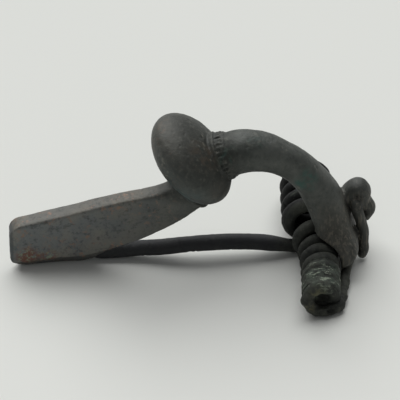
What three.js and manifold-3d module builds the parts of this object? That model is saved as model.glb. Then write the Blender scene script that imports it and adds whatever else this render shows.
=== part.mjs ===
// A small bronze bow brooch, lying on its catch and its spring.
// X runs along the brooch from foot to head, Y across it and Z up, in millimetres.
// While it is made, X is measured from the middle of the brooch and Z from the table.

import * as THREE from 'three';
import { mergeVertices } from 'three/addons/utils/BufferGeometryUtils.js';
import Module from 'manifold-3d';

const wasm = await Module();
wasm.setup();

// Clearances
const gap = 0.3; // between separate pieces
const turnGap = 0.07; // between two turns of the near coil
const farTurnGap = 0.35; // between two turns of the far coil, which is pulled apart

// Spring and pin
const wireRadius = 1.05;
const farWireRadius = 1.2;
const nearCoilRadius = 2.05; // to the middle of the wire
const chordRadius = 0.75;
const farCoilRadius = 3.6; // at the middle of the brooch
const farEndRadius = 3; // and at the far end, so that the far coil is a cone
const nearTurns = 7;
const farTurns = 4.5;
const springX = 17.75; // axis of both coils
const coilLead = 0.25; // the first turn steps aside by this much, to clear the pin
const firstTurnRise = 0.5; // the first turn is this much wider than the rest
const nearCoilBulge = 0.6; // the near coil is bent outwards by this much halfway
const pinY = 0.2;
const pinRadius = 1.2;
const pinRestRadius = 0.75; // where it lies in the gutter
const pinTipRadius = 0.25;
const pinTipX = -27.3;
const pinArch = 2.7; // height of the pin's middle at its highest point

// Foot and catch
const footEndX = -30;
const footWidth = 3;
const trimWidth = 40; // wider than the brooch
const footY = 0.4; // the foot stands a little to the far side
const footTopHeight = 8.2; // top of the foot at its end
const footRise = 0.256; // rise of the foot's top for each millimetre along it
const barDepth = 3;
const plateThickness = 0.9;
const catchLength = 11; // of its flat underside
const catchFade = 6; // over this length the gutter fades out
const bladeX = -9.4; // from here on the plate's lower edge runs straight up to the knob
const bladeZ = 4.9;
const catchFloor = 0.55;
const catchRoll = 1.5; // radius of the rolled lower edge
const catchLip = 0.85; // height of the lip on the open side
const catchReach = 2; // how far the gutter reaches to the open side
const endChamfer = 0.7;
const endCornerRadius = 2.6;
const endRiseLength = 4.5; // the underside rises towards the end
const endRiseHeight = 2.4;

// Knob and collars
const knobX = 0.63; // where the middle line of the bow passes through the knob
const knobZ = 17.75;
const knobTilt = THREE.MathUtils.degToRad(42);
const knobRadius = 8;
const knobHalfThickness = 4.2;
const knobLift = 3.25; // the knob stands off centre, away from the pin
const knobAlong = 0.3; // and a little towards the head
const neckBack = 3; // from the middle of the knob back to the neck collar
const collarTilt = THREE.MathUtils.degToRad(30);
const collarRadius = 4.1;
const collarLift = 0.97; // the collar stands off centre as well
const collarRidge = 0.3;
const collarBand = 1.4;
const collarStart = 3.4; // from the middle of the knob
const notchCount = 24;
const notchWidth = 0.42;
const notchDepth = 0.45;
const neckCollarRadius = 4.6;
const neckCollarWidth = 1.1;

// Hook for the chord
const hookHalfWidth = 1.6;
const hookHalfThickness = 1.15;
const hookEndRadius = 1; // where the curl turns into the shank
const hookTipRadius = 0.62;

// Joins and cuts
function solid(geometry) {
  const bare = geometry.clone();
  bare.deleteAttribute('normal');
  bare.deleteAttribute('uv');
  const merged = mergeVertices(bare, 1e-5);
  const vertProperties = new Float32Array(merged.attributes.position.array);
  const triVerts = new Uint32Array(merged.index.array);
  return new wasm.Manifold(new wasm.Mesh({ numProp: 3, vertProperties, triVerts }));
}

function geometryOf(manifold) {
  const mesh = manifold.getMesh();
  const geometry = new THREE.BufferGeometry();
  const positions = new Float32Array(mesh.numVert * 3);
  for (let i = 0; i < mesh.numVert; i++) {
    for (let k = 0; k < 3; k++) {
      positions[3 * i + k] = mesh.vertProperties[mesh.numProp * i + k];
    }
  }
  geometry.setAttribute('position', new THREE.BufferAttribute(positions, 3));
  geometry.setIndex(new THREE.BufferAttribute(new Uint32Array(mesh.triVerts), 1));
  geometry.computeVertexNormals();
  return geometry;
}

// A ring of points: across, then out from the middle line
function ring(across, out, back, power, sides) {
  const points = [];
  for (let j = 0; j < sides; j++) {
    const angle = (2 * Math.PI * j) / sides;
    const c = Math.cos(angle);
    const s = Math.sin(angle);
    const reach = s > 0 ? out : back;
    points.push([
      across * Math.sign(c) * Math.abs(c) ** (2 / power),
      reach * Math.sign(s) * Math.abs(s) ** (2 / power),
    ]);
  }
  return points;
}

// A closed bar along a list of points, with its own ring at each of them
function bar(points, ringAt) {
  const positions = [];
  const indices = [];
  const across = new THREE.Vector3(0, 1, 0);
  const along = new THREE.Vector3();
  const out = new THREE.Vector3();
  const last = points.length - 1;
  const sides = ringAt(0).length;
  points.forEach((point, i) => {
    along.subVectors(points[Math.min(i + 1, last)], points[Math.max(i - 1, 0)]).normalize();
    across.addScaledVector(along, -across.dot(along)).normalize();
    out.crossVectors(along, across);
    for (const [a, b] of ringAt(i)) {
      const spot = point.clone().addScaledVector(across, a).addScaledVector(out, b);
      positions.push(spot.x, spot.y, spot.z);
    }
  });
  for (let i = 0; i < last; i++) {
    for (let j = 0; j < sides; j++) {
      const next = (j + 1) % sides;
      const a = i * sides + j;
      const d = i * sides + next;
      indices.push(a, d, d + sides, a, d + sides, a + sides);
    }
  }
  const first = positions.length / 3;
  positions.push(...points[0].toArray(), ...points[last].toArray());
  for (let j = 0; j < sides; j++) {
    const next = (j + 1) % sides;
    indices.push(first, next, j);
    indices.push(first + 1, last * sides + j, last * sides + next);
  }
  const geometry = new THREE.BufferGeometry();
  geometry.setAttribute('position', new THREE.Float32BufferAttribute(positions, 3));
  geometry.setIndex(indices);
  return geometry;
}

// A bar in the brooch's middle plane from stations of x, z, half width, outer and inner reach and power
function planeBar(stations, stepsBetween, sides) {
  const middle = new THREE.CatmullRomCurve3(stations.map((s) => new THREE.Vector3(s[0], 0, s[1])));
  const reach = new THREE.CatmullRomCurve3(stations.map((s) => new THREE.Vector3(s[2], s[3], s[4])));
  const steps = (stations.length - 1) * stepsBetween;
  const points = [];
  const rings = [];
  for (let i = 0; i <= steps; i++) {
    const t = i / steps;
    const station = Math.min(Math.floor(i / stepsBetween), stations.length - 2);
    const share = i / stepsBetween - station;
    const power = THREE.MathUtils.lerp(stations[station][5], stations[station + 1][5], share);
    const size = reach.getPoint(t);
    points.push(middle.getPoint(t));
    rings.push(ring(size.x, size.y, size.z, power, sides));
  }
  return bar(points, (i) => rings[i]);
}

// A round wire through a list of points, with its radius worked out from the share of its length
function wire(route, steps, sides, radiusAt) {
  const curve = new THREE.CatmullRomCurve3(route);
  curve.arcLengthDivisions = 12 * route.length;
  const points = curve.getSpacedPoints(steps);
  return bar(points, (i) => {
    const radius = radiusAt(i / steps, points[i]);
    return ring(radius, radius, radius, 2, sides);
  });
}

// A turned shape whose axis leans in the brooch's middle plane
function turned(profile, segments, x, z, tilt) {
  const points = profile.map(([radius, along]) => new THREE.Vector2(radius, along));
  const geometry = new THREE.LatheGeometry(points, segments);
  const axis = new THREE.Vector3(Math.cos(tilt), 0, Math.sin(tilt));
  const lean = new THREE.Quaternion().setFromUnitVectors(new THREE.Vector3(0, 1, 0), axis);
  geometry.applyQuaternion(lean);
  geometry.translate(x, 0, z);
  return geometry;
}

// A flat outline in the X and Z plane, thickened across from one Y to another
function plate(outline, fromY, toY) {
  const shape = new THREE.Shape(outline.map(([x, z]) => new THREE.Vector2(x, z)));
  const geometry = new THREE.ExtrudeGeometry(shape, { depth: toY - fromY, bevelEnabled: false });
  geometry.rotateX(Math.PI / 2);
  geometry.translate(0, toY, 0);
  return geometry;
}

// A round clearance along Y
function clearance(radius, x, z, fromY, toY) {
  const geometry = new THREE.CylinderGeometry(radius, radius, toY - fromY, 48);
  geometry.translate(x, (fromY + toY) / 2, z);
  return geometry;
}

// Places that several pieces share
const nearAxisZ = nearCoilRadius + wireRadius;
const farAxisZ = farCoilRadius + farWireRadius;
const nearPitch = 2 * wireRadius + turnGap;
const farPitch = 2 * farWireRadius + farTurnGap;
const nearEndY = pinY - nearTurns * nearPitch - coilLead;
const farInnerY = pinY + wireRadius + farWireRadius + 2 * gap;
const farOuterY = farInnerY + farPitch * (farTurns - 0.5);
const nearOuterRadius = nearCoilRadius + wireRadius;
const farOuterRadius = farCoilRadius + farWireRadius;
const chordX = springX + nearOuterRadius + 3.2;
const chordZ = 1.85;
const footTopAt = (x) => footTopHeight + footRise * (x - footEndX);
const knobAxis = new THREE.Vector3(Math.cos(knobTilt), 0, Math.sin(knobTilt));
const knobAway = new THREE.Vector3(-Math.sin(knobTilt), 0, Math.cos(knobTilt));
const neckX = knobX - neckBack * knobAxis.x;
const neckZ = knobZ - neckBack * knobAxis.z;

// Foot: a bar on top, a thin plate below it and a gutter that is open on the far side
function footSolid() {
  const halfWidth = footWidth / 2;
  const nearFace = -halfWidth;
  const half = barDepth / 2;
  const barStations = [footEndX, -20, -11].map((x) => [x, footTopAt(x) - half, halfWidth, half, half, 6]);
  const bars = planeBar([
    ...barStations,
    [-5.6, footTopAt(-5.6) - 2.2, 1.8, 2.4, 4, 3.2],
    [neckX, neckZ, 2.6, 2.4, 3.9, 2.6],
    [knobX, knobZ, 3, 3, 3.4, 2.2],
  ], 3, 20);
  const web = plate([
    [footEndX, catchRoll],
    [footEndX + catchLength + catchFade, catchRoll],
    [bladeX, bladeZ - 0.5],
    [-3.2, 8.4],
    [neckX + 1.8, neckZ - 4.4],
    [neckX, neckZ],
    [-11, footTopAt(-11) - half],
    [footEndX, footTopAt(footEndX) - half],
  ], nearFace, nearFace + plateThickness);
  const section = new THREE.Shape();
  section.moveTo(nearFace, catchRoll + 1);
  section.lineTo(nearFace, catchRoll);
  section.absarc(nearFace + catchRoll, catchRoll, catchRoll, Math.PI, 1.5 * Math.PI, false);
  section.lineTo(catchReach - 0.5, 0);
  section.lineTo(catchReach, 0.5);
  section.lineTo(catchReach, catchLip);
  section.lineTo(catchReach - catchFloor, catchLip);
  section.lineTo(catchReach - catchFloor, catchFloor);
  section.lineTo(nearFace + catchRoll + 0.1, catchFloor);
  section.lineTo(nearFace + plateThickness, catchRoll);
  section.lineTo(nearFace + plateThickness, catchRoll + 1);
  const gutter = new THREE.ExtrudeGeometry(section, {
    depth: catchLength + catchFade,
    bevelEnabled: false,
    curveSegments: 6,
  });
  gutter.rotateX(Math.PI / 2);
  gutter.rotateZ(Math.PI / 2);
  gutter.translate(footEndX, 0, 0);
  const flatEndX = footEndX + catchLength;
  const corner = endCornerRadius;
  const slope = Math.atan(footRise);
  const cornerZ = footTopAt(footEndX + corner) - corner / Math.cos(slope);
  const side = new THREE.Shape();
  side.moveTo(footEndX, cornerZ);
  side.lineTo(footEndX, endRiseHeight);
  side.quadraticCurveTo(footEndX, 0, footEndX + endRiseLength, 0);
  side.lineTo(flatEndX, 0);
  side.quadraticCurveTo(flatEndX + 2.5, 0, bladeX, bladeZ);
  side.lineTo(-3.2, 8.5);
  side.lineTo(knobX, 11.4);
  side.lineTo(knobX + knobRadius, 11.4);
  side.lineTo(knobX + knobRadius, knobZ + knobRadius);
  side.lineTo(-11, knobZ + knobRadius);
  side.absarc(footEndX + corner, cornerZ, corner, Math.PI / 2 + slope, Math.PI, false);
  const sideTrim = new THREE.ExtrudeGeometry(side, { depth: trimWidth, bevelEnabled: false, curveSegments: 6 });
  sideTrim.rotateX(Math.PI / 2);
  sideTrim.translate(0, trimWidth / 2, 0);
  const plan = new THREE.Shape();
  plan.moveTo(footEndX, nearFace + endChamfer);
  plan.lineTo(footEndX + endChamfer, nearFace);
  plan.lineTo(knobX, -2 * knobRadius);
  plan.lineTo(knobX + knobRadius, 0);
  plan.lineTo(knobX, 2 * knobRadius);
  plan.lineTo(footEndX + endChamfer, catchReach + 1);
  plan.lineTo(footEndX, catchReach - endChamfer / 2);
  const planTrim = new THREE.ExtrudeGeometry(plan, { depth: trimWidth, bevelEnabled: false });
  planTrim.translate(0, 0, -1);
  const foot = solid(bars).add(solid(web)).add(solid(gutter));
  return foot.intersect(solid(sideTrim)).intersect(solid(planTrim)).translate([0, footY, 0]);
}

// Knob: a thick round bead that stands off centre
function knobSolid() {
  const profile = [];
  const rows = 12;
  for (let i = 0; i <= rows; i++) {
    const angle = Math.PI * (i / rows - 0.5);
    const radius = i === 0 || i === rows ? 0 : knobRadius * Math.cos(angle) ** 0.92;
    profile.push([radius, knobHalfThickness * Math.sin(angle)]);
  }
  const x = knobX + knobLift * knobAway.x + knobAlong * knobAxis.x;
  const z = knobZ + knobLift * knobAway.z + knobAlong * knobAxis.z;
  return solid(turned(profile, 36, x, z, knobTilt));
}

// Collar on the head side: a ridge, a notched band, a groove and a low ridge
function collarSolid() {
  const bandStart = collarStart + 0.8;
  const bandEnd = bandStart + collarBand;
  const profile = [
    [0, collarStart - 1],
    [collarRadius, collarStart - 1],
    [collarRadius + collarRidge, collarStart + 0.2],
    [collarRadius + collarRidge, bandStart - 0.25],
    [collarRadius - 0.15, bandStart],
    [collarRadius, bandStart + 0.2],
    [collarRadius, bandEnd - 0.2],
    [collarRadius - 0.3, bandEnd],
    [collarRadius - 0.55, bandEnd + 0.12],
    [collarRadius - 0.2, bandEnd + 0.42],
    [collarRadius - 0.6, bandEnd + 0.85],
    [0, bandEnd + 0.85],
  ];
  const axis = new THREE.Vector3(Math.cos(collarTilt), 0, Math.sin(collarTilt));
  const away = new THREE.Vector3(-Math.sin(collarTilt), 0, Math.cos(collarTilt));
  const base = new THREE.Vector3(knobX, 0, knobZ).addScaledVector(away, collarLift);
  let collar = solid(turned(profile, 30, base.x, base.z, collarTilt));
  const across = new THREE.Vector3(0, 1, 0);
  const middle = base.clone().addScaledVector(axis, (bandStart + bandEnd) / 2);
  for (let i = 0; i < notchCount; i++) {
    const angle = (2 * Math.PI * (i + 0.5)) / notchCount;
    const outward = away.clone().multiplyScalar(Math.cos(angle)).addScaledVector(across, Math.sin(angle));
    const round = new THREE.Vector3().crossVectors(axis, outward);
    const place = new THREE.Matrix4().makeBasis(axis, outward, round);
    place.setPosition(middle.clone().addScaledVector(outward, collarRadius));
    const notch = new THREE.BoxGeometry(collarBand - 0.4, 2 * notchDepth, notchWidth);
    notch.applyMatrix4(place);
    collar = collar.subtract(solid(notch));
  }
  return collar;
}

// Collar on the foot side: one plain ring
function neckCollarSolid() {
  const half = neckCollarWidth / 2;
  const profile = [
    [0, -half],
    [neckCollarRadius - 0.35, -half],
    [neckCollarRadius, 0],
    [neckCollarRadius - 0.35, half],
    [0, half],
  ];
  return solid(turned(profile, 28, neckX, neckZ, knobTilt));
}

// Bow and head: one bar that swells into a trumpet-like cover for the spring
function archSolid() {
  return solid(planeBar([
    [knobX, knobZ, 3, 3, 3, 2],
    [3.2, 20, 3.4, 3.7, 3.3, 2],
    [6.25, 21.4, 3.4, 3.4, 3.4, 2.1],
    [9.7, 21.1, 3.1, 3.1, 3, 2.2],
    [12.4, 19.8, 2.8, 2.75, 2.6, 2.2],
    [14.8, 18.1, 2.75, 2.6, 2.6, 2.2],
    [17.2, 15.3, 2.9, 2.6, 2.7, 2.2],
    [18.9, 12.2, 3.3, 2.9, 2.9, 2.3],
    [20.2, 8.9, 4.3, 2.9, 3, 2.5],
    [21, 6, 6.2, 2.7, 3.2, 3.4],
    [21.4, 3.6, 7.5, 1.8, 2.9, 4],
    [21.5, 2.4, 7.3, 0.8, 1.9, 4],
  ], 3, 24));
}

// Hook: a tongue from the back of the head that curls once and passes under the chord
function hookSolid() {
  const reach = chordRadius + gap + hookTipRadius;
  const curl = [
    [21.4, 1.2, 7.4],
    [22.8, 1.4, 9.6],
    [23.8, 1.5, 11.2],
    [24.9, 1.3, 12],
    [25.8, 1.2, 11],
    [25.8, 1.15, 9.6],
    [26.7, 1, 7.7],
    [26, 1, 6.2],
  ].map(([x, y, z]) => new THREE.Vector3(x, y, z));
  const shank = [
    [26.7, 1, 7.7],
    [26, 1, 6.2],
    [25, 1.5, 6.9],
    [24.5, 1.2, 8.5],
    [24.4, 0.1, 9.9],
    [24.6, -0.8, 9],
    [25, -1, 7],
    [chordX + reach - 0.1, -1.1, 4.6],
    [chordX + reach, -1.4, 3],
    [chordX + 0.95 * reach, -1.9, 1.4],
    [chordX + 0.62 * reach, -2.8, hookTipRadius + 0.05],
  ].map(([x, y, z]) => new THREE.Vector3(x, y, z));
  const ribbon = new THREE.CatmullRomCurve3(curl).getSpacedPoints(18);
  const wideEnd = bar(ribbon, (i) => {
    const share = THREE.MathUtils.smoothstep(i / 18, 0.5, 1);
    const halfWidth = THREE.MathUtils.lerp(hookHalfWidth, hookEndRadius, share);
    const halfThickness = THREE.MathUtils.lerp(hookHalfThickness, hookEndRadius, share);
    return ring(halfWidth, halfThickness, halfThickness, 2.4, 10);
  });
  const thinEnd = wire(shank, 30, 8, (share) => THREE.MathUtils.lerp(hookEndRadius, hookTipRadius, share));
  return solid(wideEnd).add(solid(thinEnd));
}

// The whole route of the spring's wire: near coil, chord and far coil
function springRoute() {
  const { lerp, smoothstep } = THREE.MathUtils;
  const route = [];
  const stepsPerTurn = 12;
  const startAngle = gap / nearCoilRadius; // the cut ends lean together, so both stand off by a gap
  const nearSteps = nearTurns * stepsPerTurn;
  for (let i = 0; i <= nearSteps; i++) {
    const turn = i / stepsPerTurn;
    const angle = 2 * Math.PI * turn - Math.PI / 2 + (i === 0 ? startAngle : 0);
    const x = springX + nearCoilBulge * Math.sin((Math.PI * turn) / nearTurns);
    const rise = smoothstep(turn, 0, 0.4) * (1 - smoothstep(turn, 0.6, 1.3));
    const radius = nearCoilRadius + firstTurnRise * rise;
    route.push(new THREE.Vector3(
      x + radius * Math.cos(angle),
      pinY - nearPitch * turn - coilLead * smoothstep(turn, 0.3, 0.8),
      wireRadius + radius + radius * Math.sin(angle),
    ));
  }
  const besideNear = springX + nearOuterRadius + 0.3;
  const besideFar = springX + farOuterRadius;
  const low = chordRadius + 0.2;
  route.push(new THREE.Vector3(springX + 1.5, nearEndY, wireRadius + 0.1));
  route.push(new THREE.Vector3(besideNear - 0.2, nearEndY + 1.8, low));
  route.push(new THREE.Vector3(besideNear + nearCoilBulge, nearEndY + 5.2, low));
  route.push(new THREE.Vector3((besideNear + chordX) / 2 + 0.2, -5.4, chordZ - 0.3));
  route.push(new THREE.Vector3(chordX, -2.2, chordZ));
  route.push(new THREE.Vector3(chordX - 0.3, 0.4, chordZ));
  route.push(new THREE.Vector3(besideFar + 0.4, 4, low + 0.25));
  route.push(new THREE.Vector3(besideFar + 0.2, farOuterY - 6, low + 0.2));
  route.push(new THREE.Vector3(besideFar - 0.6, farOuterY - 2.2, low + 0.2));
  route.push(new THREE.Vector3(springX + 2.6, farOuterY, farWireRadius + 0.05));
  const farSteps = Math.round(farTurns * stepsPerTurn);
  for (let i = 0; i <= farSteps; i++) {
    const turn = i / stepsPerTurn;
    const angle = -2 * Math.PI * turn - Math.PI / 2;
    const radius = lerp(farEndRadius, farCoilRadius, turn / farTurns);
    route.push(new THREE.Vector3(
      springX + radius * Math.cos(angle),
      farOuterY - farPitch * turn,
      farWireRadius + radius + radius * Math.sin(angle),
    ));
  }
  return route;
}

function springGeometry() {
  const { lerp, smoothstep } = THREE.MathUtils;
  return wire(springRoute(), 200, 8, (share, point) => {
    if (share < 0.45 && point.x < springX + nearOuterRadius) {
      return wireRadius;
    }
    if (share > 0.55 && point.x < springX + farOuterRadius) {
      return lerp(chordRadius, farWireRadius, smoothstep(share, 0.6, 0.68));
    }
    return point.y < 0 ? lerp(wireRadius, chordRadius, smoothstep(point.y, nearEndY, nearEndY + 2)) : chordRadius;
  });
}

// Pin: slightly arched, thinner towards its point, which lies in the gutter
function pinGeometry() {
  const restZ = catchFloor + 2 * gap + pinRestRadius;
  const restY = footY - footWidth / 2 + plateThickness + gap + pinRestRadius;
  const route = [
    [springX - gap, pinY, wireRadius],
    [14.4, pinY, 1.3],
    [9.5, pinY, 2.25],
    [4.7, pinY, pinArch - 0.05],
    [-1, pinY, pinArch],
    [-6, (pinY + restY) / 2, pinArch - 0.4],
    [-14, restY, restZ],
    [-20, restY, restZ],
    [pinTipX, restY, restZ],
  ].map(([x, y, z]) => new THREE.Vector3(x, y, z));
  return wire(route, 30, 8, (share) => {
    const thick = THREE.MathUtils.lerp(wireRadius, pinRadius, THREE.MathUtils.smoothstep(share, 0.08, 0.16));
    const slim = THREE.MathUtils.lerp(thick, pinRestRadius, THREE.MathUtils.smoothstep(share, 0.56, 0.74));
    return THREE.MathUtils.lerp(slim, pinTipRadius, THREE.MathUtils.smoothstep(share, 0.88, 1));
  });
}

function bowGeometry() {
  const nearRoomRadius = nearOuterRadius + gap + nearCoilBulge / 4;
  const nearRoom = clearance(nearRoomRadius, springX + 0.75 * nearCoilBulge, nearAxisZ, -trimWidth, pinY);
  const farRoom = clearance(farOuterRadius + gap, springX, farAxisZ, pinY - wireRadius, trimWidth);
  const firstRadius = nearOuterRadius + firstTurnRise;
  const firstEndY = pinY - 2.5 * wireRadius - gap;
  const firstRoom = clearance(firstRadius + gap, springX, firstRadius, firstEndY, pinY);
  const head = archSolid().subtract(solid(nearRoom)).subtract(solid(farRoom)).subtract(solid(firstRoom));
  const whole = head
    .add(footSolid())
    .add(knobSolid())
    .add(collarSolid())
    .add(neckCollarSolid())
    .add(hookSolid());
  return geometryOf(whole);
}

// Finishes
const bronze = new THREE.MeshStandardMaterial({ color: 0x3d3f3c, roughness: 0.5, metalness: 0.6 });
const springBronze = new THREE.MeshStandardMaterial({ color: 0x4a4e47, roughness: 0.6, metalness: 0.5 });
const pinBronze = new THREE.MeshStandardMaterial({ color: 0x2c2e2f, roughness: 0.5, metalness: 0.6 });

function named(name, geometry, material) {
  const mesh = new THREE.Mesh(geometry, material);
  mesh.name = name;
  return mesh;
}

const pieces = new THREE.Group();
pieces.add(named('bow', bowGeometry(), bronze));
pieces.add(named('spring', springGeometry(), springBronze));
pieces.add(named('pin', pinGeometry(), pinBronze));

// The origin is under the middle of the whole brooch, on the table
const brooch = new THREE.Group();
const bounds = new THREE.Box3().setFromObject(pieces);
const middle = bounds.getCenter(new THREE.Vector3());
pieces.position.set(-middle.x, -middle.y, -bounds.min.z);
brooch.add(pieces);

export default brooch;
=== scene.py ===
"""A small bronze bow brooch on a pale table: its casting, its sprung wire and the pin in its catch."""
import math

import bmesh
import bpy
import numpy as np
from mathutils import Matrix, Vector, noise


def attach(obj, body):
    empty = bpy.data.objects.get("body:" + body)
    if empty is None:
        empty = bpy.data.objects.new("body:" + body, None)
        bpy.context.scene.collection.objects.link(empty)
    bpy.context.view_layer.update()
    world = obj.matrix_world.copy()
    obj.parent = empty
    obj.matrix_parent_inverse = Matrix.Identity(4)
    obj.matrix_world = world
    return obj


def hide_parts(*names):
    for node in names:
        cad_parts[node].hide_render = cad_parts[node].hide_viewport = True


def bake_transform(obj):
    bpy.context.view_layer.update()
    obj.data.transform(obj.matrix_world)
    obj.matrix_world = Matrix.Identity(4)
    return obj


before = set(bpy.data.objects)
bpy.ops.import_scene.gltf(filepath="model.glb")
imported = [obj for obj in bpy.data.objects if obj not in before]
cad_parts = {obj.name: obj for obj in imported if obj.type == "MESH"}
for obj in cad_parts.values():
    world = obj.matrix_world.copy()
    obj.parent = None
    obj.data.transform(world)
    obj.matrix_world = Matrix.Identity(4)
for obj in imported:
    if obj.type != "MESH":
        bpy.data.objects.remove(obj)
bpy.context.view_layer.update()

# Pieces are shaped in millimetres about the part's own modelling origin, and then moved into the frame
TO_FRAME = (1.163, 0.721, 0.0)
MM = 0.001

# Spring: clearance round its wire, the wire's half thicknesses, the coils measured to the middle of the
# wire, and the chord behind them
WIRE_GAP = 0.3
WIRE = 1.05
FAR_WIRE = 1.2
CHORD = 0.75
SPRING_X = 17.75
NEAR_COIL = 2.05
FAR_COIL = 3.6
FAR_COIL_END = 3.0
NEAR_TURNS = 7
FAR_TURNS = 4.5
NEAR_PITCH = 2.17
FAR_PITCH = 2.75
FIRST_STEP_ASIDE = 0.25
FIRST_TURN_RISE = 0.5
NEAR_BULGE = 0.6
CHORD_X = SPRING_X + NEAR_COIL + WIRE + 3.2
CHORD_Z = 1.85

# Pin: where it leaves the spring, its half thicknesses, the height of its arch, and the stretch meant to
# bend, from a little in front of the coil's middle, whose two ends are worked out below but make nothing
# bend
PIN_Y = 0.2
PIN = 1.28
PIN_AT_REST = 0.75
PIN_POINT = 0.25
PIN_ARCH = 2.7
BENDING_START = 0.4
BENDING_LENGTH = 5.5

# Open end of the near coil
NEAR_END = PIN_Y - NEAR_TURNS * NEAR_PITCH - FIRST_STEP_ASIDE
COIL_MOUTH = (18.2, -14.9, 3.0)
BROKEN_EDGE = (19.5, -16.1, 1.6)
EATEN_EDGE = (18, -15.6, 1.7)
FLARED_EDGE = (14.8, -15.9, 3.4)

# Foot and catch: BLADE is the x and z that the plate's lower edge rises to behind the catch
FOOT_END = -30.0
FOOT_WIDTH = 3.0
FOOT_Y = 0.4
FOOT_TOP = 8.2
FOOT_RISE = 0.256
FOOT_CORNER = 2.6
PLATE = 0.9
CATCH_LENGTH = 11.0
CATCH_FADE = 6.0
BLADE = (-9.4, 4.9)
END_RISE_LENGTH = 4.5
END_RISE_HEIGHT = 2.4
CATCH_FLOOR = 0.55
CATCH_ROLL = 1.5
CATCH_LIP = 0.85
CATCH_REACH = 2.0

# Knob and collars: KNOB is the x and z at which the bars meet inside the knob, and a lift is how far a
# turned form stands off the bar's middle
KNOB = (0.63, 17.75)
KNOB_TILT = math.radians(42)
KNOB_RADIUS = 8.0
KNOB_HALF = 4.2
KNOB_LIFT = 3.25
KNOB_ALONG = 0.3
NECK_BACK = 3.15
COLLAR_TILT = math.radians(20)
COLLAR_RADIUS = 3.9
COLLAR_LIFT = 1.7
COLLAR_START = 3.1
COLLAR_BAND = 1.05
NOTCHES = 30
NOTCH_DEPTH = 0.4

# Hook: half width and half thickness of its tongue, and half thickness of the wire that it is drawn out to
HOOK_WIDE = 1.6
HOOK_THICK = 1.15
HOOK_WIRE = 1.0

# Grid on which the casting's forms are melted into one
MELT = 0.175


def smooth_step(value, low, high):
    """0 below low, 1 above high and a smooth rise between them."""
    share = np.clip((value - low) / (high - low), 0, 1)
    return share * share * (3 - 2 * share)


def through(stations, shares):
    """Points at the given shares of a smooth curve through the stations."""
    known = np.asarray(stations, float)
    known = np.vstack([2 * known[0] - known[1], known, 2 * known[-1] - known[-2]])
    spans = len(stations) - 1
    points = []
    for share in shares:
        at = min(int(share * spans), spans - 1)
        w = share * spans - at
        a, b, c, d = known[at : at + 4]
        steps = (b - a, c - b, d - c)
        ab, bc, cd = (math.sqrt(max(np.linalg.norm(step), 1e-6)) for step in steps)
        leave = ((b - a) / ab - (c - a) / (ab + bc) + (c - b) / bc) * bc
        arrive = ((c - b) / bc - (d - b) / (bc + cd) + (d - c) / cd) * bc
        square = 3 * (c - b) - 2 * leave - arrive
        cube = 2 * (b - c) + leave + arrive
        points.append(b + leave * w + square * w**2 + cube * w**3)
    return np.array(points)


def evenly(stations, count):
    """The same curve cut into equal lengths."""
    fine = through(stations, np.linspace(0, 1, 12 * len(stations)))
    lengths = np.concatenate([[0], np.cumsum(np.linalg.norm(np.diff(fine, axis=0), axis=1))])
    wanted = np.linspace(0, lengths[-1], count + 1)
    return np.column_stack([np.interp(wanted, lengths, fine[:, k]) for k in range(3)])


def rounded(across, out, back, power, sides):
    """A ring between an oval and a square: power 2 is an oval, higher is squarer."""
    angle = np.arange(sides) * 2 * math.pi / sides
    c, s = np.cos(angle), np.sin(angle)
    reach = np.where(s > 0, out, back)
    return np.column_stack(
        [across * np.sign(c) * np.abs(c) ** (2 / power), reach * np.sign(s) * np.abs(s) ** (2 / power)]
    )


def closed_form(points, faces):
    """A bmesh with its faces pointing out."""
    form = bmesh.new()
    corners = [form.verts.new(p) for p in points]
    for face in faces:
        form.faces.new([corners[i] for i in face])
    if form.calc_volume(signed=True) < 0:
        bmesh.ops.reverse_faces(form, faces=form.faces)
    return form


def skin_over(rings):
    """Closed skin over rings that all have the same number of points."""
    sides = len(rings[0])
    faces = []
    for i in range(len(rings) - 1):
        for j in range(sides):
            a, b = i * sides + j, i * sides + (j + 1) % sides
            faces.append((a, b, b + sides, a + sides))
    last = (len(rings) - 1) * sides
    faces.append(tuple(reversed(range(sides))))
    faces.append(tuple(range(last, last + sides)))
    return closed_form(np.vstack(rings).tolist(), faces)


def bar(points, ring_at):
    """A closed bar through the points, with its own ring at each."""
    across = np.array([0.0, 1.0, 0.0])
    rings = []
    last = len(points) - 1
    for i, point in enumerate(points):
        along = points[min(i + 1, last)] - points[max(i - 1, 0)]
        along /= np.linalg.norm(along)
        across = across - along * (across @ along)
        across /= np.linalg.norm(across)
        out = np.cross(along, across)
        ring = ring_at(i)
        rings.append(point + ring[:, :1] * across + ring[:, 1:] * out)
    return skin_over(rings)


def upright_bar(stations, steps, sides):
    """A bar in the brooch's middle plane from x, z, half width, outer and inner reach, and power."""
    spans = len(stations) - 1
    shares = np.linspace(0, 1, spans * steps + 1)
    middle = through([(s[0], 0, s[1]) for s in stations], shares)
    reach = through([s[2:5] for s in stations], shares)
    power = np.interp(shares * spans, range(spans + 1), [s[5] for s in stations])
    return bar(middle, lambda i: rounded(*reach[i], power[i], sides))


def turned(profile, segments, x, z, tilt, ring_radius=None):
    """A turned form about an axis that leans in the brooch's middle plane."""
    axis = np.array([math.cos(tilt), 0, math.sin(tilt)])
    away = np.array([-math.sin(tilt), 0, math.cos(tilt)])
    side = np.array([0, 1, 0])
    angle = np.arange(segments) * 2 * math.pi / segments
    rings = []
    for radius, along in profile:
        size = radius if ring_radius is None else ring_radius(radius, along, angle)
        spokes = np.outer(np.cos(angle), away) + np.outer(np.sin(angle), side)
        rings.append(np.array([x, 0, z]) + along * axis + (size * np.ones(segments))[:, None] * spokes)
    return skin_over(rings)


def prism(outline, place, start, end):
    """A flat outline carried from start to end; place turns its two values and the height into x, y, z."""
    return skin_over([np.array([place(u, v, height) for u, v in outline]) for height in (start, end)])


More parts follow.
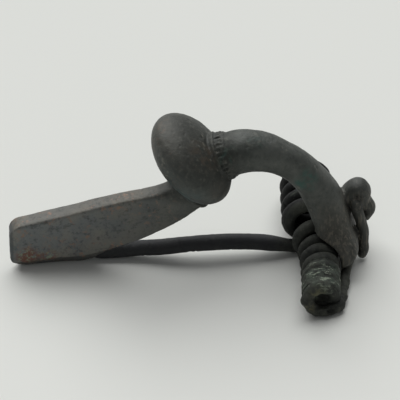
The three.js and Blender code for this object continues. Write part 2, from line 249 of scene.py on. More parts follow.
def arc(x, y, radius, start, end, steps=6):
    """Points on a round corner about x and y."""
    angles = np.linspace(start, end, steps + 1)
    return [(x + radius * math.cos(a), y + radius * math.sin(a)) for a in angles]


def bend(start, pull, end, steps):
    """A quadratic bend from start to end, drawn towards pull."""
    shares = np.linspace(0, 1, steps + 1)[1:]
    start, pull, end = (np.array(p, float) for p in (start, pull, end))
    return [tuple((1 - t) ** 2 * start + 2 * t * (1 - t) * pull + t * t * end) for t in shares]


def as_object(form, name):
    """The closed form as an object of its own."""
    data = bpy.data.meshes.new(name)
    form.to_mesh(data)
    form.free()
    made = bpy.data.objects.new(name, data)
    bpy.context.collection.objects.link(made)
    return made


def settle(piece):
    """Keep what the modifiers make."""
    graph = bpy.context.evaluated_depsgraph_get()
    kept = bpy.data.meshes.new_from_object(piece.evaluated_get(graph))
    piece.modifiers.clear()
    old = piece.data
    piece.data = kept
    bpy.data.meshes.remove(old)


def gathered(name, pieces):
    """Several objects in one mesh, not yet melted together."""
    whole = bmesh.new()
    for piece in pieces:
        whole.from_mesh(piece.data)
        bpy.data.meshes.remove(piece.data)
    return as_object(whole, name)


def worked(piece, operation, *tools):
    """Join, cut or trim a piece with other closed forms."""
    for form in tools:
        tool = as_object(form, "tool")
        cut = piece.modifiers.new("work", "BOOLEAN")
        cut.operation = operation
        cut.solver = "MANIFOLD"
        cut.object = tool
        settle(piece)
        bpy.data.meshes.remove(tool.data)
    return piece


def foot_top(x):
    """Height of the foot's top."""
    return FOOT_TOP + FOOT_RISE * (x - FOOT_END)


def behind_knob(distance):
    """The point on the knob's axis that lies so far towards the foot."""
    return KNOB[0] - distance * math.cos(KNOB_TILT), KNOB[1] - distance * math.sin(KNOB_TILT)


def foot():
    """Bar on top, thin plate below and a rolled gutter that is open on the far side."""
    half = FOOT_WIDTH / 2
    near = -half
    neck = behind_knob(NECK_BACK)
    straight = [(x, foot_top(x) - half, half, half, half, 6) for x in (FOOT_END, -20, -11)]
    into_knob = [
        (-4.4, foot_top(-4.4) - 2.3, 1.9, 2.3, 3.8, 3.2),
        (*neck, 2.6, 1.6, 3.9, 2.6),
        (*KNOB, 3, 3, 3.4, 2.2),
    ]
    top_bar = upright_bar(straight + into_knob, 8, 40)
    web = prism(
        [
            (FOOT_END, CATCH_ROLL),
            (FOOT_END + CATCH_LENGTH + CATCH_FADE, CATCH_ROLL),
            (BLADE[0], BLADE[1] - 0.5),
            (-6.3, 6.4),
            (-3.2, 8.4),
            (neck[0] + 1.8, neck[1] - 4.4),
            neck,
            (-11, foot_top(-11) - half),
            (FOOT_END, foot_top(FOOT_END) - half),
        ],
        lambda x, z, y: (x, y, z),
        near,
        near + PLATE,
    )
    section = [(near, CATCH_ROLL + 1)]
    section += arc(near + CATCH_ROLL, CATCH_ROLL, CATCH_ROLL, math.pi, 1.5 * math.pi, 12)
    section += [
        (CATCH_REACH - 0.5, 0),
        (CATCH_REACH, 0.5),
        (CATCH_REACH, CATCH_LIP),
        (CATCH_REACH - CATCH_FLOOR, CATCH_LIP),
        (CATCH_REACH - CATCH_FLOOR, CATCH_FLOOR),
        (near + CATCH_ROLL + 0.1, CATCH_FLOOR),
        (near + PLATE, CATCH_ROLL),
        (near + PLATE, CATCH_ROLL + 1),
    ]
    gutter = prism(section, lambda y, z, x: (x, y, z), FOOT_END, FOOT_END + CATCH_LENGTH + CATCH_FADE)
    flat_end = FOOT_END + CATCH_LENGTH
    end_rise = (FOOT_END, END_RISE_HEIGHT)
    side = [end_rise] + bend(end_rise, (FOOT_END, 0), (FOOT_END + END_RISE_LENGTH, 0), 10)
    side += [(flat_end, 0)] + bend((flat_end, 0), (flat_end + 2.5, 0), BLADE, 12)
    side += [(-6.3, 6.55), (-3.2, 8.5), (KNOB[0], 11.4)]
    side += [(KNOB[0] + KNOB_RADIUS, 11.4), (KNOB[0] + KNOB_RADIUS, 26), (-11, 26)]
    slope = math.atan(FOOT_RISE)
    corner_z = foot_top(FOOT_END + FOOT_CORNER) - FOOT_CORNER / math.cos(slope)
    side += arc(FOOT_END + FOOT_CORNER, corner_z, FOOT_CORNER, math.pi / 2 + slope, math.pi, 12)
    plan = [
        *arc(FOOT_END + 0.9, near + 0.9, 0.9, math.pi, 1.5 * math.pi),
        (KNOB[0], -16),
        (KNOB[0] + KNOB_RADIUS, 0),
        (KNOB[0], 16),
        (FOOT_END + 0.9, CATCH_REACH + 1),
        (FOOT_END, CATCH_REACH - 0.35),
    ]
    # Lower lip of the near face: x, its height, how far the underside draws in below it, and to what height
    lip = [
        (-32, 2, 0.6, 1.5),
        (-29.5, 1.6, 0.8, 0.5),
        (-27.5, 1.6, 1.1, -0.1),
        (-23.6, 1.95, 1.45, -0.1),
        (-18.9, 2.3, 1.45, -0.1),
        (-17, 2.6, 1.4, 0.3),
        (-15.7, 2.95, 1.25, 1),
        (-14, 3.5, 1.1, 2.1),
        (-12.6, 4, 1, 3),
        (-9.4, 5.1, 0.95, 4.3),
        (-5, 7.5, 0.95, 6.6),
    ]
    drawn_in = [
        [(x, near - 2, z), (x, near, z), (x, near + deep, low), (x, near + deep, -3), (x, near - 2, -3)]
        for x, z, deep, low in lip
    ]
    piece = worked(as_object(top_bar, "foot"), "UNION", web, gutter)
    worked(piece, "DIFFERENCE", skin_over([np.array(ring, float) for ring in drawn_in]))
    worked(
        piece,
        "INTERSECT",
        prism(side, lambda x, z, y: (x, y, z), -20, 20),
        prism(plan, lambda x, y, z: (x, y, z), -1, 39),
    )
    piece.data.transform(Matrix.Translation((0, FOOT_Y, 0)))
    return piece


def head_and_bow():
    """One bar from the knob to the trumpet-like cover, hollowed for both coils."""
    stations = [
        (*KNOB, 3, 3, 3, 2),
        (3.2, 20, 3.4, 3.7, 3.3, 2),
        (6.25, 21.4, 3.4, 3.4, 3.4, 2.1),
        (9.7, 21.1, 3.1, 3.1, 3, 2.2),
        (12.4, 19.8, 2.8, 2.75, 2.6, 2.2),
        (14.8, 18.1, 2.75, 2.6, 2.6, 2.2),
        (17.2, 15.3, 2.9, 2.6, 2.7, 2.2),
        (18.9, 12.2, 3.3, 2.9, 2.9, 2.3),
        (20.2, 8.9, 4.3, 2.95, 3, 2.5),
        (21, 6, 6.2, 3.0, 3.2, 3.4),
        (21.4, 3.8, 7.5, 3.35, 2.9, 4),
        (21.5, 2.4, 7.3, 1.4, 1.9, 4),
    ]
    piece = as_object(upright_bar(stations, 6, 56), "bow")
    near_room = NEAR_COIL + WIRE + WIRE_GAP + NEAR_BULGE / 4
    far_room = FAR_COIL + FAR_WIRE + WIRE_GAP
    first = NEAR_COIL + WIRE + FIRST_TURN_RISE
    circle = [(math.cos(a), math.sin(a)) for a in np.arange(64) * 2 * math.pi / 64]
    for radius, x, z, start, end in (
        (near_room, SPRING_X + 0.75 * NEAR_BULGE, NEAR_COIL + WIRE, -40, PIN_Y),
        (first + WIRE_GAP, SPRING_X, first, PIN_Y - 2.5 * WIRE - WIRE_GAP, PIN_Y),
        (far_room, SPRING_X, FAR_COIL + FAR_WIRE, PIN_Y - WIRE, 40),
    ):
        room = [(x + radius * c, z + radius * s) for c, s in circle]
        worked(piece, "DIFFERENCE", prism(room, lambda u, v, y: (u, y, v), start, end))
    return piece


def knob():
    """Thick round bead that stands off centre."""
    rows = np.linspace(-0.497, 0.497, 49) * math.pi
    profile = [(KNOB_RADIUS * math.cos(a) ** 0.92, KNOB_HALF * math.sin(a)) for a in rows]
    x = KNOB[0] - KNOB_LIFT * math.sin(KNOB_TILT) + KNOB_ALONG * math.cos(KNOB_TILT)
    z = KNOB[1] + KNOB_LIFT * math.cos(KNOB_TILT) + KNOB_ALONG * math.sin(KNOB_TILT)
    return turned(profile, 96, x, z, KNOB_TILT)


def notched_collar():
    """Ridge, notched band, groove and low ridge on the head side of the knob."""
    band = COLLAR_START + 0.55
    end = band + COLLAR_BAND
    r = COLLAR_RADIUS
    profile = [
        (1, COLLAR_START - 1),
        (r, COLLAR_START - 1),
        (r + 0.25, COLLAR_START + 0.1),
        (r + 0.25, band - 0.2),
        (r - 0.25, band - 0.02),
        (r, band + 0.15),
        (r, end - 0.15),
        (r - 0.3, end),
        (r - 0.6, end + 0.1),
        (r - 0.15, end + 0.25),
        (r - 0.6, end + 0.5),
        (1, end + 0.5),
    ]

    def cut_notches(radius, along, angle):
        if not band + 0.05 < along < end - 0.05:
            return radius
        turn = (angle * NOTCHES / (2 * math.pi) + 0.5) % 1
        wobble = 0.1 * np.sin(3 * angle) + 0.06 * np.sin(7 * angle + 1)
        return radius - NOTCH_DEPTH * (1 - smooth_step(np.abs(turn - 0.5), 0.11, 0.24 + 0.3 * wobble))

    x = KNOB[0] - COLLAR_LIFT * math.sin(COLLAR_TILT)
    z = KNOB[1] + COLLAR_LIFT * math.cos(COLLAR_TILT)
    return turned(profile, 480, x, z, COLLAR_TILT, cut_notches)


def neck_collar():
    """Plain ridge on the foot side of the knob."""
    profile = [(1, -0.5), (4.3, -0.5), (4.65, -0.28), (4.75, 0), (4.6, 0.25), (4.1, 0.45), (1, 0.45)]
    return turned(profile, 96, *behind_knob(NECK_BACK), KNOB_TILT)


def hook():
    """Tongue from the back of the head, which curls once and passes under the chord."""
    reach = CHORD + WIRE_GAP + 0.62
    curl = [
        (21.4, 1.2, 7.4),
        (22.8, 1.4, 9.6),
        (23.8, 1.5, 11.2),
        (24.9, 1.3, 12),
        (25.8, 1.2, 11),
        (25.8, 1.15, 9.6),
        (26.7, 1, 7.7),
        (26, 1, 6.2),
    ]
    shank = [
        (26.7, 1, 7.7),
        (26, 1, 6.2),
        (25.1, 1.6, 7.1),
        (24.5, 1.2, 8.5),
        (24.4, 0.1, 9.9),
        (24.6, -0.8, 9),
        (25.2, -1, 7),
        (CHORD_X + reach - 0.05, -1.1, 4.9),
        (CHORD_X + reach - 0.1, -1.4, 3),
        (CHORD_X + 0.95 * reach, -1.9, 1.5),
        (CHORD_X + 0.62 * reach, -2.8, 0.67),
    ]
    turning = smooth_step(np.linspace(0, 1, 61), 0.5, 1)
    width = HOOK_WIDE + (HOOK_WIRE - HOOK_WIDE) * turning
    thick = HOOK_THICK + (HOOK_WIRE - HOOK_THICK) * turning
    tongue = bar(evenly(curl, 60), lambda i: rounded(width[i], thick[i], thick[i], 2.4, 24))
    slim = np.interp(np.linspace(0, 1, 121), (0, 0.9, 0.96, 0.985, 1), (HOOK_WIRE, 0.85, 0.74, 0.56, 0.2))
    drawn_out = bar(evenly(shank, 120), lambda i: rounded(slim[i], slim[i], slim[i], 2, 20))
    return tongue, drawn_out


def fine_noise(points, size, seed):
    """Noise from about -1 to 1 at each point, with lumps of about the given size in millimetres."""
    step = Vector((seed * 17.3, seed * 5.1, seed * 9.7))
    return np.array([noise.noise(Vector(p) / size + step) for p in points])


def move_out(piece, depth_at):
    """Move each point of a piece along its normal by the depth found there."""
    data = piece.data
    count = len(data.vertices)
    points = np.empty(count * 3)
    normals = np.empty(count * 3)
    data.vertices.foreach_get("co", points)
    data.vertex_normals.foreach_get("vector", normals)
    points = points.reshape(-1, 3)
    normals = normals.reshape(-1, 3)
    points += normals * depth_at(points, normals)[:, None]
    points[:, 2] = np.maximum(points[:, 2], 0.0)
    data.vertices.foreach_set("co", points.ravel())
    data.update()


def into_frame(piece):
    """From millimetres at the modelling origin to metres in the frame."""
    piece.data.transform(Matrix.Scale(MM, 4) @ Matrix.Translation(TO_FRAME))
    for face in piece.data.polygons:
        face.use_smooth = True


def casting():
    """Foot, knob, collars, bow, head and hook as one worn casting."""
    worked_parts = [foot(), head_and_bow()]
    plain_parts = [as_object(form, "part") for form in (knob(), notched_collar(), neck_collar(), *hook())]
    piece = gathered("bow_casting", worked_parts + plain_parts)
    melt = piece.modifiers.new("melt", "REMESH")
    melt.mode = "VOXEL"
    melt.voxel_size = MELT
    wear = piece.modifiers.new("wear", "SMOOTH")
    wear.factor = 0.5
    wear.iterations = 3
    settle(piece)

    def worn(points, normals):
        dents = 0.07 * fine_noise(points, 3.2, 1) + 0.035 * fine_noise(points, 1.1, 2)
        grain = 0.018 * fine_noise(points, 0.45, 3)
        pits = -0.06 * smooth_step(fine_noise(points, 0.9, 4), 0.45, 0.62)
        return dents + grain + pits

    move_out(piece, worn)
    into_frame(piece)
    return piece


def spring_route():
    """Stations of the wire from the middle of the brooch: near coil, chord and far coil."""
    far_inner = PIN_Y + WIRE + FAR_WIRE + 2 * WIRE_GAP
    far_outer = far_inner + FAR_PITCH * (FAR_TURNS - 0.5)
    route = []
    for i in range(NEAR_TURNS * 12 + 1):
        turn = i / 12
        angle = 2 * math.pi * turn - math.pi / 2
        aside = FIRST_STEP_ASIDE * float(smooth_step(turn, 0.3, 0.8))
        rise = float(smooth_step(turn, 0, 0.4) * (1 - smooth_step(turn, 0.6, 1.3)))
        radius = NEAR_COIL + FIRST_TURN_RISE * rise
        route.append((
            SPRING_X + NEAR_BULGE * math.sin(math.pi * turn / NEAR_TURNS) + radius * math.cos(angle),
            PIN_Y - NEAR_PITCH * turn - aside,
            WIRE + radius + radius * math.sin(angle),
        ))
    beside_near = SPRING_X + NEAR_COIL + WIRE + 0.3
    beside_far = SPRING_X + FAR_COIL + FAR_WIRE
    low = CHORD + 0.2
    route += [
        (SPRING_X + 1.5, NEAR_END, WIRE + 0.1),
        (beside_near - 0.2, NEAR_END + 1.8, low),
        (beside_near + NEAR_BULGE, NEAR_END + 5.2, low),
        ((beside_near + CHORD_X) / 2 + 0.2, -5.4, CHORD_Z - 0.3),
        (CHORD_X, -2.2, CHORD_Z),
        (CHORD_X - 0.3, 0.4, CHORD_Z),
        (beside_far + 0.4, 4, low + 0.25),
        (beside_far + 0.2, far_outer - 6, low + 0.2),
        (beside_far - 0.6, far_outer - 2.2, low + 0.2),
        (SPRING_X + 2.6, far_outer, FAR_WIRE + 0.05),
    ]
    for i in range(round(FAR_TURNS * 12) + 1):
        turn = i / 12
        angle = -2 * math.pi * turn - math.pi / 2
        radius = FAR_COIL_END + (FAR_COIL - FAR_COIL_END) * turn / FAR_TURNS
        route.append((
            SPRING_X + radius * math.cos(angle),
            far_outer - FAR_PITCH * turn,
            FAR_WIRE + radius + radius * math.sin(angle),
        ))
    return route


def near_to(points, spot, inner, outer):
    """1 within inner and 0 beyond outer, in millimetres from a spot."""
    return 1 - smooth_step(np.linalg.norm(points - np.array(spot), axis=1), inner, outer)


def wire_wear(points, normals):
    """Dents all over, lumps of crust on the near coil, and its broken and flared end."""
    dents = 0.05 * fine_noise(points, 2.6, 5) + 0.03 * fine_noise(points, 0.9, 6)
    crusted = smooth_step(-points[:, 1], 6.5, 10) * smooth_step(points[:, 0], 12, 15)
    crust = 0.16 * smooth_step(fine_noise(points, 1.3, 7), 0.0, 0.4) + 0.07 * fine_noise(points, 0.6, 11)
    crust = crust * crusted
    pits = -0.1 * smooth_step(fine_noise(points, 0.8, 8), 0.45, 0.6)
    broken = -0.85 * near_to(points, BROKEN_EDGE, 0.5, 1.1) - 0.4 * near_to(points, EATEN_EDGE, 0.6, 1.2)
    flared = 0.45 * near_to(points, FLARED_EDGE, 0.6, 1.7)
    return dents + crust + pits + broken + flared


def fused_crust():
    """Corrosion that fills the grooves of the near coil towards its open end."""
    y = np.linspace(NEAR_END + 1.3, -5.5, 140)
    turn = (PIN_Y - y) / NEAR_PITCH
    x = SPRING_X + NEAR_BULGE * np.sin(math.pi * turn / NEAR_TURNS)
    points = np.column_stack([x, y, np.full(len(y), NEAR_COIL + WIRE)])
    thick = 2.35 + 0.62 * smooth_step(-y, 5.5, 10.5)
    return bar(points, lambda i: rounded(thick[i], thick[i], thick[i], 2, 120))


def mouth_crust():
    """A lump that hangs into the open end of the near coil from above."""
    points = np.array([(SPRING_X - 0.1, NEAR_END + y, 4.35) for y in np.linspace(1.3, -0.2, 12)])
    return bar(points, lambda i: rounded(1.2, 0.8, 0.8, 2, 24))


def spring_wire():
    """Near coil, chord and far coil in one crusted wire that grows thin along the chord."""
    steps = 1500
    points = evenly(spring_route(), steps)
    share = np.linspace(0, 1, steps + 1)
    x, y = points[:, 0], points[:, 1]
    thin = WIRE + (CHORD - WIRE) * smooth_step(y, NEAR_END, NEAR_END + 2)
    radius = np.where(y < 0, thin, CHORD)
    worn_end = WIRE - 0.2 * smooth_step(-y, -NEAR_END - 1.4, -NEAR_END)
    radius = np.where((share < 0.45) & (x < SPRING_X + NEAR_COIL + WIRE), worn_end, radius)
    far = CHORD + (FAR_WIRE - CHORD) * smooth_step(share, 0.6, 0.68)
    radius = np.where((share > 0.55) & (x < SPRING_X + FAR_COIL + FAR_WIRE), far, radius)
    wire = bar(points, lambda i: rounded(radius[i], radius[i], radius[i], 2, 24))
    parts = [as_object(form, "part") for form in (wire, fused_crust(), mouth_crust())]
    piece = gathered("spring_wire", parts)
    move_out(piece, wire_wear)
    into_frame(piece)
    return piece


def pin_wire():
    """The pin from the middle of the spring over its low arch into the catch, drawn out to a point."""
    rest_z = CATCH_FLOOR + 2 * WIRE_GAP + PIN_AT_REST
    rest_y = FOOT_Y - FOOT_WIDTH / 2 + PLATE + WIRE_GAP + PIN_AT_REST
    route = [
        (SPRING_X + 0.05, PIN_Y, WIRE),
        (14.4, PIN_Y, 1.3),
        (9.5, PIN_Y, 2.25),
        (4.7, PIN_Y, PIN_ARCH - 0.05),
        (-1, PIN_Y, PIN_ARCH - 0.15),
        (-6, (PIN_Y + rest_y) / 2, PIN_ARCH - 0.75),
        (-12, rest_y + 0.2, 1.42),
        (-15.6, rest_y + 0.2, 1.3),
        (-18.5, rest_y, rest_z - 0.15),
        (-22, rest_y, rest_z),
        (-27.3, rest_y, rest_z),
    ]
    steps = 360
    share = np.linspace(0, 1, steps + 1)
    radius = WIRE + (PIN - WIRE) * smooth_step(share, 0.08, 0.16)
    radius = radius + (PIN_AT_REST - radius) * smooth_step(share, 0.73, 0.82)
    radius = radius + (PIN_POINT - radius) * smooth_step(share, 0.88, 1)
    form = bar(evenly(route, steps), lambda i: rounded(radius[i], radius[i], radius[i], 2, 24))
    piece = as_object(form, "pin_wire")
    move_out(piece, wire_wear)
    into_frame(piece)
    return piece


class Tone:
    """A shader socket that can stand in a Python expression."""

    def __init__(self, finish, socket):
        self.finish = finish
        self.socket = socket

    def maths(self, operation, first, second):
        return self.finish.node("ShaderNodeMath", {"operation": operation}, {0: first, 1: second})

    def __add__(self, other):
        return self.maths("ADD", self, other)

    def __sub__(self, other):
        return self.maths("SUBTRACT", self, other)

    def __rsub__(self, other):
        return self.maths("SUBTRACT", other, self)

    def __mul__(self, other):
        return self.maths("MULTIPLY", self, other)

    __radd__ = __add__
    __rmul__ = __mul__

    def between(self, low, high):
        """0 below low, 1 above high and a smooth rise between them, or a fall where low is the higher."""
        settings = {"interpolation_type": "SMOOTHSTEP"}
        inputs = {"Value": self, "From Min": low, "From Max": high}
        return self.finish.node("ShaderNodeMapRange", settings, inputs)


class Finish:
    """One material. Its nodes come from one method, and its places are millimetres in the frame."""

    def __init__(self, name):
        self.material = bpy.data.materials.new(name)
        self.material.use_nodes = True
        self.tree = self.material.node_tree
        self.tree.nodes.clear()
        metres = self.node("ShaderNodeTexCoord", output="Object")
        self.place = self.node("ShaderNodeVectorMath", {"operation": "SCALE"}, {0: metres, "Scale": 1 / MM})

    def node(self, kind, settings=None, inputs=None, output=0):
        """A node of this kind, with its settings made first and its sockets filled with values or links."""
        made = self.tree.nodes.new(kind)
        for name, value in (settings or {}).items():
            setattr(made, name, value)
        for name, value in (inputs or {}).items():
            if isinstance(value, Tone):
                self.tree.links.new(value.socket, made.inputs[name])
            else:
                made.inputs[name].default_value = value
        return Tone(self, made.outputs[output])

    def clouds(self, size, detail=4.0, rough=0.55, shift=0.0, stretch=(1, 1, 1)):
        """Noise from 0 to 1 with lumps of about this size in millimetres, longer where stretch is small."""
        away = (shift, -shift, 2 * shift)
        moved = self.node("ShaderNodeVectorMath", {"operation": "ADD"}, {0: self.place, 1: away})
        drawn = self.node("ShaderNodeVectorMath", {"operation": "MULTIPLY"}, {0: moved, 1: stretch})
        inputs = {"Vector": drawn, "Scale": 1 / size, "Detail": detail, "Roughness": rough}
        return self.node("ShaderNodeTexNoise", None, inputs)

    def along(self, axis):
        """Millimetres from the modelling origin along X, Y or Z."""
        return self.node("ShaderNodeSeparateXYZ", None, {0: self.place}, axis) - TO_FRAME["XYZ".index(axis)]

    def facing_up(self):
        """1 where the surface looks up, 0 where it is upright and -1 where it looks down."""
        normal = self.node("ShaderNodeNewGeometry", output="Normal")
        return self.node("ShaderNodeSeparateXYZ", None, {0: normal}, "Z")

    def away_from(self, spot):
        """Millimetres from a spot, which is given from the modelling origin."""
        centre = tuple(a + b for a, b in zip(spot, TO_FRAME))
        settings = {"operation": "DISTANCE"}
        return self.node("ShaderNodeVectorMath", settings, {0: self.place, 1: centre}, "Value")

    def near(self, spot, inner, outer):
        """1 within inner and 0 beyond outer, in millimetres from a spot."""
        return 1 - self.away_from(spot).between(inner, outer)

    def patches(self, *spots):
        """Several soft patches: where each is, its inner and outer radius, and its strength."""
        return sum(self.near(spot, inner, outer) * strength for spot, inner, outer, strength in spots)

    def mix(self, share, first, second):
        """The first colour, with this share of the second over it."""
        settings = {"data_type": "RGBA", "clamp_factor": True}
        return self.node("ShaderNodeMix", settings, {0: share, 6: first, 7: second}, 2)

    def bump(self, height, strength, distance):
        """A normal that is roughened by the height, over a distance in metres."""
        inputs = {"Height": height, "Strength": strength, "Distance": distance}
        return self.node("ShaderNodeBump", None, inputs)

    def close(self, inputs):
        """The finished material, from what goes into its shader's sockets."""
        surface = self.node("ShaderNodeBsdfPrincipled", None, inputs)
        shown = self.tree.nodes.new("ShaderNodeOutputMaterial")
        self.tree.links.new(surface.socket, shown.inputs["Surface"])
        return self.material


def hue(*screen):
    """A colour from its screen values, 0 to 255."""
    shares = [value / 255 for value in screen]
    return (*(s / 12.92 if s < 0.0404 else ((s + 0.055) / 1.055) ** 2.4 for s in shares), 1)


# Marks on the casting: where each is, its inner and outer radius, and its strength
KNOB_MIDDLE = (-1.3, 0, 20.4)
TEAL_MARKS = (((-4.5, -4, 19.5), 1, 6, 1), ((-1.5, -7.2, 17.4), 1, 4.5, 1), ((-30, -1, 5), 0.5, 2.2, 1))
BROWN_MARKS = (((0, -3.5, 23.6), 0.5, 4, 1), ((2.6, -7, 17), 1, 5, 0.5))
EATEN_MARKS = (((-27.2, -1.2, 2.6), 0.8, 2.4, 1), ((-24, -1.2, 2.5), 0.4, 2, 1))
GREEN_MARKS = (
    ((16.2, -2.4, 17.0), 0.6, 2.6, 1),
    ((8.2, -1.4, 24.2), 0.2, 2.2, 0.6),
    ((4.2, -3, 22.8), 0.4, 2.4, 0.5),
    ((-1.2, -7.4, 14.6), 0.4, 2.6, 0.5),
)
TURQUOISE_MARK = (16.4, -2.4, 16.9)
SCRATCH_MIDDLE = (17.237, -5.921, 6.4)
SCRATCH_RADIUS = 3.4

# Marks on the spring wire
CRUST_MARKS = (
    ((17.6, -12.2, 5.4), 1.5, 4.6, 1),
    ((20.6, -11.6, 4.4), 0.8, 3.4, 0.8),
    ((17.0, 5.0, 9.0), 0.5, 4.0, 0.3),
)
OCHRE_MARKS = (((17.2, -16, 5.0), 0.3, 2.1, 1), ((16, -16, 2.4), 0.2, 1.4, 1))


def cast_patina():
    """Dark bronze: paler and bluer on the foot, with green, rust and wear where the photo shows them."""
    finish = Finish("cast_patina")
    x, y, z = (finish.along(axis) for axis in "XYZ")
    broad = finish.clouds(5.5, 3, 0.5)
    fine = finish.clouds(0.8, 5, 0.65, 3.1)
    specks = finish.clouds(0.35, 3, 0.6, 8.4)
    ragged = finish.clouds(1.6, 5, 0.7, 12.2)
    on_foot = 1 - x.between(-11, 0.5)
    on_head = x.between(17, 20) * (1 - z.between(9, 14))
    on_hook = x.between(22.4, 23.6)
    on_knob = finish.near(KNOB_MIDDLE, 6.5, 9.4)

    # Main tones of the foot, the bow, the head, the hook and the knob
    dark = finish.mix(broad.between(0.35, 0.65), hue(62, 66, 62), hue(85, 88, 84))
    pale = finish.mix(broad.between(0.4, 0.6), hue(108, 112, 112), hue(122, 121, 115))
    pale = finish.mix(x.between(-24, -6) * 0.5, pale, hue(72, 73, 69))
    colour = finish.mix(on_foot, dark, pale)
    # Painted highlight: the foot's upward-facing surfaces are made lighter and warmer, as where the window
    # lights them
    level = finish.facing_up().between(0.35, 0.85)
    colour = finish.mix(level * on_foot * 0.55, colour, hue(88, 83, 72))
    colour = finish.mix(on_head * 0.5, colour, hue(80, 76, 68))
    colour = finish.mix(on_hook * 0.6, colour, hue(44, 47, 45))
    colour = finish.mix(on_knob * 0.75, colour, hue(44, 46, 41))
    colour = finish.mix(fine.between(0.5, 0.75) * 0.5, colour, hue(104, 104, 96))
    colour = finish.mix(fine.between(0.5, 0.25) * 0.5, colour, hue(36, 37, 36))

    # Rubbed edges with a painted highlight on them, painted shade in hollows and on the underside, and file
    # marks on the head
    bend = finish.node("ShaderNodeNewGeometry", output="Pointiness")
    # Convex edges made lighter: rubbed wear and a painted highlight along the ridges
    rubbed_edge_highlight = bend.between(0.51, 0.6) * fine.between(0.3, 0.6)
    colour = finish.mix(rubbed_edge_highlight * 0.45, colour, hue(128, 127, 116))
    # Painted shade: hollows and creases are darkened
    colour = finish.mix((1 - bend.between(0.42, 0.49)) * 0.7, colour, hue(24, 25, 23))
    # Painted shade on surfaces that face down, such as under the foot's lip
    under = 1 - finish.facing_up().between(-0.7, -0.25)
    colour = finish.mix(under * 0.75, colour, hue(20, 21, 20))
    files = finish.clouds(0.35, 2, 0.5, 4.4, (1, 1, 0.08)).between(0.5, 0.66) * on_head
    colour = finish.mix(files * 0.6, colour, hue(112, 107, 96))

    # Broad stains on the knob and the foot
    teal = finish.patches(*TEAL_MARKS) * ragged.between(0.35, 0.6)
    colour = finish.mix(teal * 0.6, colour, hue(60, 78, 78))
    brown = finish.patches(*BROWN_MARKS) * ragged.between(0.4, 0.6)
    colour = finish.mix(brown * 0.5, colour, hue(88, 74, 60))
    rust_areas = finish.clouds(4, 2, 0.5, 5.7).between(0.4, 0.56)
    rust = finish.clouds(0.8, 4, 0.65, 8.9).between(0.56, 0.64) * rust_areas
    colour = finish.mix(rust * on_foot * (1 - on_knob) * 0.8, colour, hue(134, 108, 92))
    dim = finish.clouds(0.9, 5, 0.7, 17.3).between(0.52, 0.66) * on_foot
    colour = finish.mix(dim * 0.5, colour, hue(52, 56, 56))
    # The foot's end face made darker and bluer: painted shade where it turns away from the light, with a
    # bluish patina tone
    end_face = 1 - x.between(-29.7, -29.1)
    colour = finish.mix(end_face * 0.75, colour, hue(40, 47, 52))

    # Eaten lower edge of the foot, green marks and pale flecks, which are fewer on the far side
    eaten = finish.patches(*EATEN_MARKS)
    colour = finish.mix(eaten * ragged.between(0.42, 0.5) * 0.8, colour, hue(112, 66, 50))
    salts = finish.clouds(0.7, 4, 0.7, 2.5).between(0.5, 0.6)
    colour = finish.mix(eaten * salts * 0.8, colour, hue(134, 146, 124))
    green = finish.patches(*GREEN_MARKS) * ragged.between(0.46, 0.66)
    colour = finish.mix(green * 0.6, colour, hue(70, 112, 102))
    turquoise = finish.near(TURQUOISE_MARK, 0.2, 2.6) * ragged.between(0.38, 0.56)
    colour = finish.mix(turquoise * 0.6, colour, hue(50, 86, 78))
    flecks = finish.clouds(0.5, 4, 0.7, 21.5).between(0.66, 0.74) * ragged.between(0.45, 0.6)
    plainer = 1 - y.between(0, 4) * 0.7
    colour = finish.mix(flecks * plainer * 0.5, colour, hue(122, 130, 114))

    # Curved scratch across the head
    off_line = finish.away_from(SCRATCH_MIDDLE) - SCRATCH_RADIUS
    scratch = (1 - (off_line * off_line).between(0.002, 0.02)) * x.between(20.6, 21.4) * z.between(5.4, 6.2)
    colour = finish.mix(scratch * 0.85, colour, hue(20, 20, 19))
    relief = fine * 0.6 + specks * 0.4 + files * 0.25
    return finish.close({
        "Base Color": colour,
        "Roughness": 0.44 + fine * 0.22 + green * 0.25,
        "Metallic": 0.25,
        "Specular IOR Level": 0.4,
        "Normal": finish.bump(relief, 0.6, 0.0002),
    })


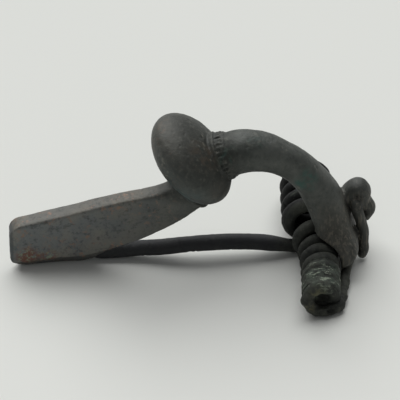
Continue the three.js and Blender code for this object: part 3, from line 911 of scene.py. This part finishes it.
def wire_patina():
    """Black on the pin and the far coil, with pale corrosion in streaks round the near coil."""
    finish = Finish("wire_patina")
    x, y = finish.along("X"), finish.along("Y")
    broad = finish.clouds(3.5, 3, 0.5, 2.2)
    fine = finish.clouds(0.6, 5, 0.65, 6.1)
    ragged = finish.clouds(1.2, 5, 0.7, 14.2)

    # Main tones: mottled near coil, smooth pin and a far coil that is almost black
    colour = finish.mix(broad.between(0.35, 0.65), hue(46, 48, 45), hue(66, 68, 62))
    colour = finish.mix(fine.between(0.5, 0.75) * 0.5, colour, hue(92, 94, 84))
    colour = finish.mix(fine.between(0.5, 0.25) * 0.6, colour, hue(32, 33, 31))
    bare = 1 - x.between(11.0, 15.5) * (1 - y.between(1.0, 4.0))
    colour = finish.mix(bare * 0.8, colour, hue(46, 47, 50))
    far_coil = y.between(1.2, 1.9) * x.between(12.2, 12.9)
    colour = finish.mix(far_coil * 0.95, colour, hue(8, 9, 9))

    # Crust and its pale streaks, the ochre rim of the open end and pale flecks
    crust = finish.patches(*CRUST_MARKS)
    colour = finish.mix(crust * ragged.between(0.4, 0.62) * 0.35, colour, hue(92, 106, 94))
    streaks = finish.clouds(0.55, 4, 0.65, 9.3, (0.35, 1, 0.35)).between(0.56, 0.64)
    colour = finish.mix(crust * streaks * 0.6, colour, hue(158, 168, 150))
    ochre = finish.patches(*OCHRE_MARKS) * ragged.between(0.4, 0.56)
    colour = finish.mix(ochre * 0.5, colour, hue(112, 108, 78))
    flecks = finish.clouds(0.45, 4, 0.7, 25.5).between(0.64, 0.72) * (1 - bare)
    colour = finish.mix(flecks * 0.45, colour, hue(120, 132, 116))

    # Painted shade in the broken edge and inside the open end
    colour = finish.mix(finish.near(BROKEN_EDGE, 0.6, 1.2) * 0.9, colour, hue(16, 17, 16))
    colour = finish.mix(finish.near(COIL_MOUTH, 0.9, 1.5) * 0.9, colour, hue(12, 13, 12))
    return finish.close({
        "Base Color": colour,
        "Roughness": 0.56 + fine * 0.2 + crust * 0.15,
        "Metallic": 0.15,
        "Specular IOR Level": 0.25,
        "Normal": finish.bump(fine, 0.6, 0.00018),
    })


def table_finish():
    """Pale matt paper with a faint cloud."""
    finish = Finish("table_paper")
    colour = finish.mix(finish.clouds(90, 2, 0.5), hue(226, 228, 223), hue(230, 231, 226))
    return finish.close({"Base Color": colour, "Roughness": 0.9})


# Pieces and what they are finished with
bow_piece = casting()
spring_piece = spring_wire()
pin_piece = pin_wire()
cast = cast_patina()
wire = wire_patina()
for piece, finish in ((bow_piece, cast), (spring_piece, wire), (pin_piece, wire)):
    piece.data.materials.clear()
    piece.data.materials.append(finish)

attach(bow_piece, "brooch")
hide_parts("bow")
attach(spring_piece, "brooch")
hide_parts("spring")
hinge = tuple((a + b) * MM for a, b in zip((SPRING_X - BENDING_START, PIN_Y, WIRE), TO_FRAME))
free = (hinge[0] - BENDING_LENGTH * MM, hinge[1], hinge[2])
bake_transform(pin_piece)
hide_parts("pin")

# Table
bpy.ops.mesh.primitive_plane_add(size=3.0, location=(0, 0, 0))
table = bpy.context.object
table.name = "table"
table.data.materials.append(table_finish())

# Light: a broad soft window above and behind, a little to the left, and a pale room
ROOM_LIGHT = 0.19
WINDOW_AT = Vector((-0.05, 0.28, 0.355))
WINDOW_LIGHT = 2.9
WINDOW_SPREAD = math.radians(72)
world = bpy.data.worlds.new("room")
world.use_nodes = True
room = world.node_tree.nodes["Background"]
room.inputs["Color"].default_value = (0.97, 0.98, 1.0, 1)
room.inputs["Strength"].default_value = ROOM_LIGHT
bpy.context.scene.world = world
daylight = bpy.data.lights.new("window", "SUN")
daylight.energy = WINDOW_LIGHT
daylight.angle = WINDOW_SPREAD
window = bpy.data.objects.new("window", daylight)
bpy.context.collection.objects.link(window)
window.location = WINDOW_AT
window.rotation_euler = WINDOW_AT.to_track_quat("Z", "Y").to_euler()

# Camera: distant view from the front, looking down at 41 degrees. How far and how wide are in metres, the
# sensor is in millimetres, and so is the aim, from the modelling origin
AZIMUTH = math.radians(4)
ELEVATION = math.radians(41)
FAR = 0.9
VIEW_WIDTH = 0.0625
SENSOR = 36
AIM = (0, 0, 11.78)
forward = Vector((
    math.sin(AZIMUTH) * math.cos(ELEVATION),
    math.cos(AZIMUTH) * math.cos(ELEVATION),
    -math.sin(ELEVATION),
))
right = Vector((math.cos(AZIMUTH), -math.sin(AZIMUTH), 0))
up = right.cross(forward)
aim = Vector(tuple((a + b) * MM for a, b in zip(AIM, TO_FRAME)))
view = bpy.data.cameras.new("camera")
view.sensor_width = SENSOR
view.lens = SENSOR * FAR / VIEW_WIDTH
view.clip_start = 0.05
view.clip_end = 10
camera = bpy.data.objects.new("camera", view)
bpy.context.collection.objects.link(camera)
turned_to = Matrix((right, up, -forward)).transposed().to_4x4()
camera.matrix_world = Matrix.Translation(aim - forward * FAR) @ turned_to
bpy.context.scene.camera = camera
bpy.context.scene.view_settings.view_transform = "Standard"
